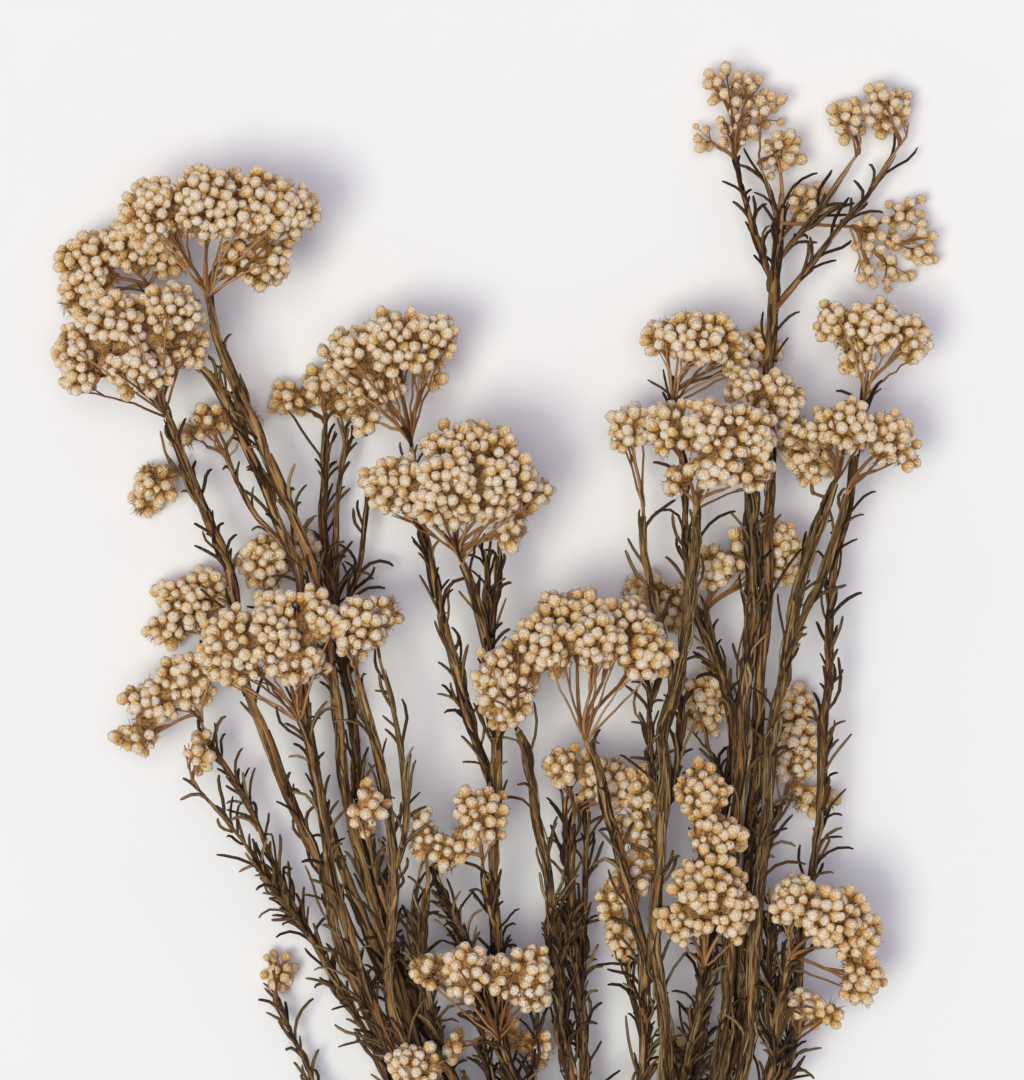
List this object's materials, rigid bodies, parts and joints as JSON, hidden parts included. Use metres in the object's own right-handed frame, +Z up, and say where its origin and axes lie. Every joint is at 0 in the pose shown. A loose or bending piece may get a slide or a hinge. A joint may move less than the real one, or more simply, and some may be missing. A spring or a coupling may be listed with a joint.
{
  "type": "dried flower bunch",
  "caption": "Tied bunch of dried leafy stems lying down, with domed clusters of small round ivory buds at their forked tops.",
  "frame": {"origin": "under the middle of the bunch's box, on the surface that the bunch lies on", "axes": "+Y along the bunch from the cut stem ends to the flower heads, +X to the right as seen from above, +Z up"},
  "size_m": [0.2974, 0.5406, 0.0717],
  "materials": {
    "bud": "dry papery buds, matte",
    "stem": "dry bark and leaves, matte",
    "twine": "rough natural twine"
  },
  "bodies": {
    "root": {"flower_head_01": "bud", "flower_head_02": "bud", "flower_head_03": "bud", "flower_head_04": "bud", "flower_head_05": "bud", "flower_head_06": "bud", "flower_head_07": "bud", "flower_head_08": "bud", "flower_head_09": "bud", "flower_head_10": "bud", "flower_head_11": "bud", "flower_head_12": "bud", "flower_head_13": "bud", "flower_head_14": "bud", "flower_head_15": "bud", "flower_head_16": "bud", "flower_head_17": "bud", "flower_head_18": "bud", "flower_head_19": "bud", "flower_head_20": "bud", "flower_head_21": "bud", "flower_head_22": "bud", "flower_head_23": "bud", "flower_head_24": "bud", "flower_head_25": "bud", "flower_head_26": "bud", "flower_head_27": "bud", "flower_head_28": "bud", "flower_head_29": "bud", "flower_head_30": "bud", "flower_head_31": "bud", "flower_head_32": "bud", "flower_head_33": "bud", "flower_head_34": "bud", "flower_head_35": "bud", "flower_head_36": "bud", "flower_head_37": "bud", "flower_head_38": "bud", "flower_head_39": "bud", "leafy_stem_01": "stem", "leafy_stem_02": "stem", "leafy_stem_03": "stem", "leafy_stem_04": "stem", "leafy_stem_05": "stem", "leafy_stem_06": "stem", "leafy_stem_07": "stem", "leafy_stem_08": "stem", "leafy_stem_09": "stem", "leafy_stem_10": "stem", "leafy_stem_11": "stem", "leafy_stem_12": "stem", "leafy_stem_13": "stem", "leafy_stem_14": "stem", "leafy_stem_15": "stem", "leafy_stem_16": "stem", "leafy_stem_17": "stem", "leafy_stem_18": "stem", "leafy_stem_19": "stem", "leafy_stem_20": "stem", "tie": "twine"}
  },
  "joints": []
}
